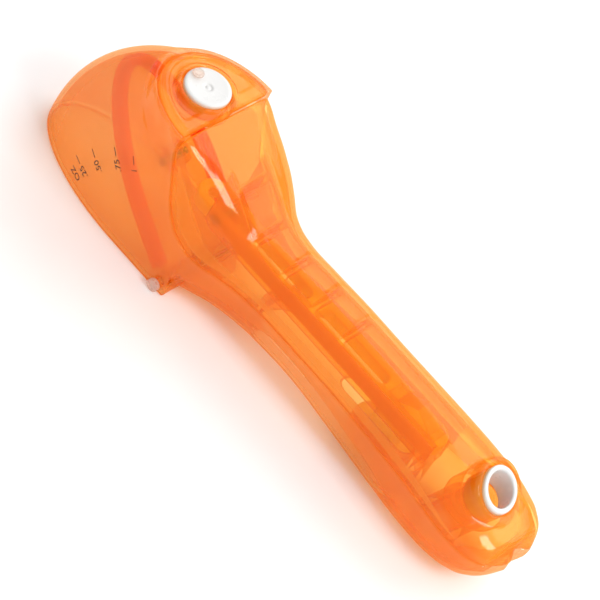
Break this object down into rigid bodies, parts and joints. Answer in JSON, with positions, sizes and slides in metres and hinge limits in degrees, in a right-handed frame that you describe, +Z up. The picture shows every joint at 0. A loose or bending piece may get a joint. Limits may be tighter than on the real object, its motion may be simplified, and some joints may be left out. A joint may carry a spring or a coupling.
{
  "type": "adjustable measuring scoop",
  "caption": "Hand-held measuring scoop with a hinged divider, worked by a thumb slide under its handle, that sets the volume of its bowl.",
  "frame": {"origin": "bottom centre of the bounding box, in the plane of the bowl's mouth rim, with the scoop lying mouth down", "axes": "+X along the handle towards the hanging end, +Z up away from the mouth, +Y across the scoop"},
  "size_m": [0.172, 0.0368, 0.0496],
  "materials": {
    "coral_plastic": "polished translucent coral-orange moulding",
    "amber_plastic": "polished translucent amber-orange moulding",
    "seal_red": "satin red-orange soft band",
    "clear_plastic": "clear polished plastic",
    "white_plastic": "smooth white moulding",
    "pin_steel": "plain steel wire and pins"
  },
  "bodies": {
    "housing": {"scoop_body": "coral_plastic", "handle_cover": "amber_plastic", "head_cap": "amber_plastic", "hang_tube": "white_plastic", "hinge_pin": "clear_plastic", "hinge_cap_right": "clear_plastic", "hinge_cap_left": "clear_plastic", "button_spring": "pin_steel"},
    "divider": {"divider_plate": "coral_plastic", "divider_seal": "seal_red", "crank_arm": "amber_plastic", "arm_pin": "pin_steel"},
    "slider": {"slider_bar": "amber_plastic", "slider_pin": "pin_steel", "thumb_slide": "amber_plastic", "detent_spring": "amber_plastic"},
    "button": {"lock_button": "white_plastic", "index_stud": "clear_plastic"}
  },
  "joints": [
    {"name": "divider_hinge", "type": "hinge", "parent": "housing", "child": "divider", "pos_m": [-0.0282, 0, 0.002], "axis": [0, 1, 0], "range_deg": [-35, 11]},
    {"name": "slider_slide", "type": "slide", "parent": "housing", "child": "slider", "axis": [1, 0, 0], "range_m": [-0.0106, 0.0034]},
    {"name": "button_press", "type": "slide", "parent": "housing", "child": "button", "axis": [0, 0, -1], "range_m": [0, 0.0015], "stiffness_N_per_m": 300, "deforming": ["button_spring"]}
  ],
  "couplings": [
    {"joint": "slider_slide", "follows": "divider_hinge", "m_per_rad": 0.017189}
  ]
}
